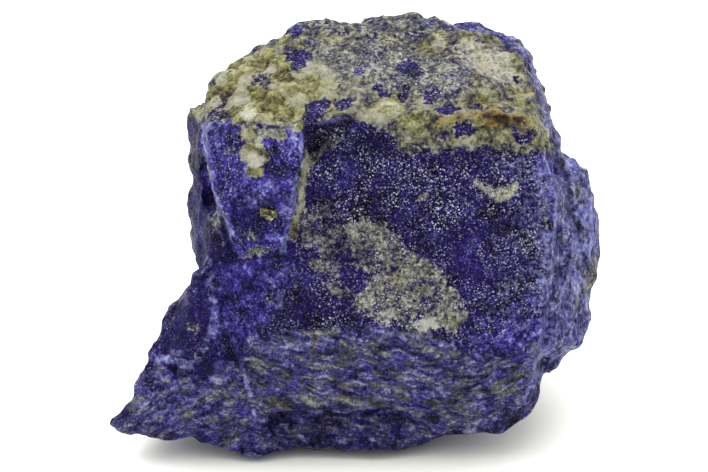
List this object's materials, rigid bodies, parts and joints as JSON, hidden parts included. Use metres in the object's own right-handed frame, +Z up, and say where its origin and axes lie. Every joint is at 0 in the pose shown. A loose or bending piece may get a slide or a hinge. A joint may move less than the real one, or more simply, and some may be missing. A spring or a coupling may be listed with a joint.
{
  "type": "lazurite crystal",
  "caption": "rough lump of lapis lazuli, deep blue lazurite with a pale calcite cap and a pointed spur, resting on a small flat spot",
  "frame": {"origin": "centre of the underside of the bounding box, on the surface the stone rests on", "axes": "+X along the longest side, to the right of the big face; +Y into the stone, away from the big face; +Z up"},
  "size_m": [0.0502, 0.0338, 0.0402],
  "materials": {
    "lazurite_stone": "rough broken granular lapis lazuli"
  },
  "bodies": {
    "root": {"lazurite_stone": "lazurite_stone"}
  },
  "joints": []
}
